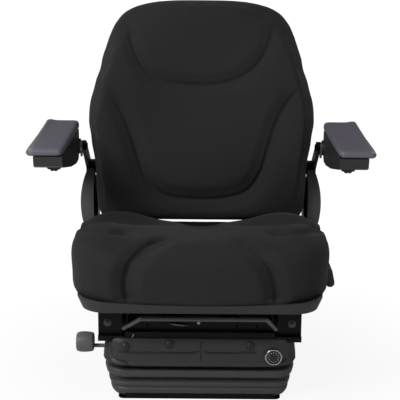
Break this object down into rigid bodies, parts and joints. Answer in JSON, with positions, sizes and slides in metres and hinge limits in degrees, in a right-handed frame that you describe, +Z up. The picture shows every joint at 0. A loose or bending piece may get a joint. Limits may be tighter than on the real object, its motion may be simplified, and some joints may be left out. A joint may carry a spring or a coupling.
{
  "type": "tractor suspension seat",
  "caption": "Upholstered tractor seat on a scissor suspension in rubber bellows, with slide rails, reclining backrest, folding armrests and a weight adjuster",
  "frame": {"origin": "on the floor at the centre of the four mounting bolt holes in the base tray", "axes": "+Z up, the seat faces -Y, +X is to the right as seen from the front"},
  "size_m": [0.688, 0.5666, 0.7798],
  "materials": {
    "black_steel": "black powder-coated steel",
    "zinc": "bright zinc-plated steel",
    "black_rubber": "moulded black rubber",
    "bellows_rubber": "satin dark grey moulded rubber",
    "dark_plastic": "grained black moulded plastic",
    "bezel_metal": "bright plated ring",
    "grey_plastic": "grained dark grey moulded plastic",
    "spring_steel": "drawn spring wire",
    "knob_plastic": "grey moulded plastic knob",
    "black_fabric": "black woven upholstery fabric over moulded foam",
    "pad_skin": "grey integral-skin foam with a satin skin"
  },
  "bodies": {
    "base": {"base_tray": "black_steel", "lower_pivot_shaft": "zinc", "bump_stops": "black_rubber", "bellows_folds": "bellows_rubber"},
    "outer_arms": {"outer_scissor_frame": "black_steel", "centre_pins": "zinc", "upper_roller_axle": "zinc"},
    "inner_arms": {"inner_scissor_frame": "black_steel", "lower_roller_axle": "zinc"},
    "lower_rollers": {"lower_rollers": "grey_plastic"},
    "upper_rollers": {"upper_rollers": "grey_plastic"},
    "upper_frame": {"upper_frame": "black_steel", "upper_pivot_shaft": "zinc", "tension_springs": "spring_steel", "bellows_apron": "bellows_rubber", "bellows_plugs": "dark_plastic", "dial_bezel": "bezel_metal", "dial_face": "dark_plastic", "lower_rails": "black_steel", "slide_crossplate": "black_steel", "rail_bolts": "zinc", "bail_spring": "spring_steel"},
    "weight_knob": {"weight_knob": "knob_plastic"},
    "tension_spindle": {"tension_spindle": "zinc"},
    "spring_anchor": {"spring_anchor": "zinc"},
    "damper_cylinder": {"damper_cylinder": "black_steel"},
    "damper_rod": {"damper_rod": "zinc"},
    "rail_cages": {"rail_balls": "zinc", "rail_cages": "grey_plastic"},
    "seat": {"upper_rails": "black_steel", "seat_pan": "black_steel", "hinge_arms": "black_steel", "cushion_tray": "grey_plastic", "seat_cushion": "black_fabric", "recline_pins": "zinc"},
    "bail": {"bail_handle": "black_steel"},
    "recline_lever": {"recline_lever": "black_steel", "recline_grip": "dark_plastic"},
    "backrest": {"backrest_frame": "black_steel", "recline_plates": "black_steel", "backrest_cushion": "black_fabric", "backrest_shell": "dark_plastic", "side_cover_left": "grey_plastic", "side_cover_right": "grey_plastic", "armrest_bracket_left": "black_steel", "armrest_bracket_right": "black_steel"},
    "stop_left": {"armrest_stop_left": "zinc"},
    "stop_right": {"armrest_stop_right": "zinc"},
    "armrest_left": {"armrest_body_left": "dark_plastic", "armrest_pad_left": "pad_skin"},
    "armrest_right": {"armrest_body_right": "dark_plastic", "armrest_pad_right": "pad_skin"},
    "wheel_left": {"armrest_wheel_left": "grey_plastic"},
    "wheel_right": {"armrest_wheel_right": "grey_plastic"}
  },
  "joints": [
    {"name": "suspension", "type": "hinge", "parent": "base", "child": "outer_arms", "pos_m": [0, 0.125, 0.018], "axis": [1, 0, 0], "range_deg": [0, 12.04], "stiffness_Nm_per_rad": 785, "springref_deg": -10.03, "deforming": ["bellows_folds", "tension_springs"]},
    {"name": "scissor_centre", "type": "hinge", "parent": "outer_arms", "child": "inner_arms", "pos_m": [0, 0.01044, 0.068], "axis": [1, 0, 0], "range_deg": [-24.1, 0.1]},
    {"name": "frame_pivot", "type": "hinge", "parent": "inner_arms", "child": "upper_frame", "pos_m": [0, 0.125, 0.118], "axis": [1, 0, 0], "range_deg": [-0.1, 12.1]},
    {"name": "lower_roll", "type": "hinge", "parent": "inner_arms", "child": "lower_rollers", "pos_m": [0, -0.10413, 0.018], "axis": [1, 0, 0], "range_deg": [-1, 90]},
    {"name": "upper_roll", "type": "hinge", "parent": "outer_arms", "child": "upper_rollers", "pos_m": [0, -0.10413, 0.118], "axis": [1, 0, 0], "range_deg": [-90, 1]},
    {"name": "damper_swing", "type": "hinge", "parent": "base", "child": "damper_cylinder", "pos_m": [0.036, 0.1, 0.03], "axis": [1, 0, 0], "range_deg": [-0.5, 16]},
    {"name": "damper_stroke", "type": "slide", "parent": "damper_cylinder", "child": "damper_rod", "axis": [0, -0.8716, 0.4903], "range_m": [-0.021, 0.001]},
    {"name": "weight_adjust", "type": "hinge", "parent": "upper_frame", "child": "weight_knob", "pos_m": [0, -0.148, 0.104], "axis": [1, 0, 0], "range_deg": [0, 3600]},
    {"name": "spindle_turn", "type": "hinge", "parent": "upper_frame", "child": "tension_spindle", "pos_m": [0, -0.148, 0.104], "axis": [0, 1, 0], "range_deg": [-1, 3601]},
    {"name": "anchor_slide", "type": "slide", "parent": "upper_frame", "child": "spring_anchor", "axis": [0, 1, 0], "range_m": [-0.0001, 0.0301]},
    {"name": "seat_slide", "type": "slide", "parent": "upper_frame", "child": "seat", "axis": [0, 1, 0], "range_m": [-0.075, 0.075]},
    {"name": "cage_travel", "type": "slide", "parent": "upper_frame", "child": "rail_cages", "axis": [0, 1, 0], "range_m": [-0.038, 0.038]},
    {"name": "bail_lift", "type": "hinge", "parent": "seat", "child": "bail", "pos_m": [0, -0.112, 0.172], "axis": [1, 0, 0], "range_deg": [-4.5, 0], "stiffness_Nm_per_rad": 6, "springref_deg": 14.32},
    {"name": "lever_lift", "type": "hinge", "parent": "seat", "child": "recline_lever", "pos_m": [0.25, 0.15, 0.232], "axis": [1, 0, 0], "range_deg": [-16, 0], "stiffness_Nm_per_rad": 1.5, "springref_deg": 28.65},
    {"name": "recline", "type": "hinge", "parent": "seat", "child": "backrest", "pos_m": [0, 0.195, 0.25], "axis": [1, 0, 0], "range_deg": [-30, 4]},
    {"name": "tilt_left", "type": "hinge", "parent": "backrest", "child": "stop_left", "pos_m": [-0.268, 0.16, 0.459], "axis": [-1, 0, 0], "range_deg": [-10, 10]},
    {"name": "tilt_right", "type": "hinge", "parent": "backrest", "child": "stop_right", "pos_m": [0.268, 0.16, 0.459], "axis": [-1, 0, 0], "range_deg": [-10, 10]},
    {"name": "fold_left", "type": "hinge", "parent": "stop_left", "child": "armrest_left", "pos_m": [-0.275, 0.16, 0.459], "axis": [-1, 0, 0], "range_deg": [0, 95]},
    {"name": "fold_right", "type": "hinge", "parent": "stop_right", "child": "armrest_right", "pos_m": [0.275, 0.16, 0.459], "axis": [-1, 0, 0], "range_deg": [0, 95]},
    {"name": "wheel_turn_left", "type": "hinge", "parent": "armrest_left", "child": "wheel_left", "pos_m": [-0.296, -0.084, 0.471], "axis": [0, 1, 0], "range_deg": [-361, 361]},
    {"name": "wheel_turn_right", "type": "hinge", "parent": "armrest_right", "child": "wheel_right", "pos_m": [0.296, -0.084, 0.471], "axis": [0, 1, 0], "range_deg": [-361, 361]}
  ],
  "couplings": [
    {"joint": "scissor_centre", "follows": "suspension", "ratio": -2},
    {"joint": "frame_pivot", "follows": "suspension", "ratio": 1},
    {"joint": "lower_roll", "follows": "suspension", "ratio": 7.27},
    {"joint": "upper_roll", "follows": "suspension", "ratio": -7.27},
    {"joint": "damper_swing", "follows": "suspension", "ratio": 1.2424},
    {"joint": "damper_stroke", "follows": "suspension", "m_per_rad": -0.0932},
    {"joint": "spindle_turn", "follows": "weight_adjust", "ratio": 1},
    {"joint": "anchor_slide", "follows": "weight_adjust", "m_per_rad": 0.00047746},
    {"joint": "cage_travel", "follows": "seat_slide", "ratio": 0.5},
    {"joint": "wheel_turn_left", "follows": "tilt_left", "ratio": 36},
    {"joint": "wheel_turn_right", "follows": "tilt_right", "ratio": 36}
  ]
}
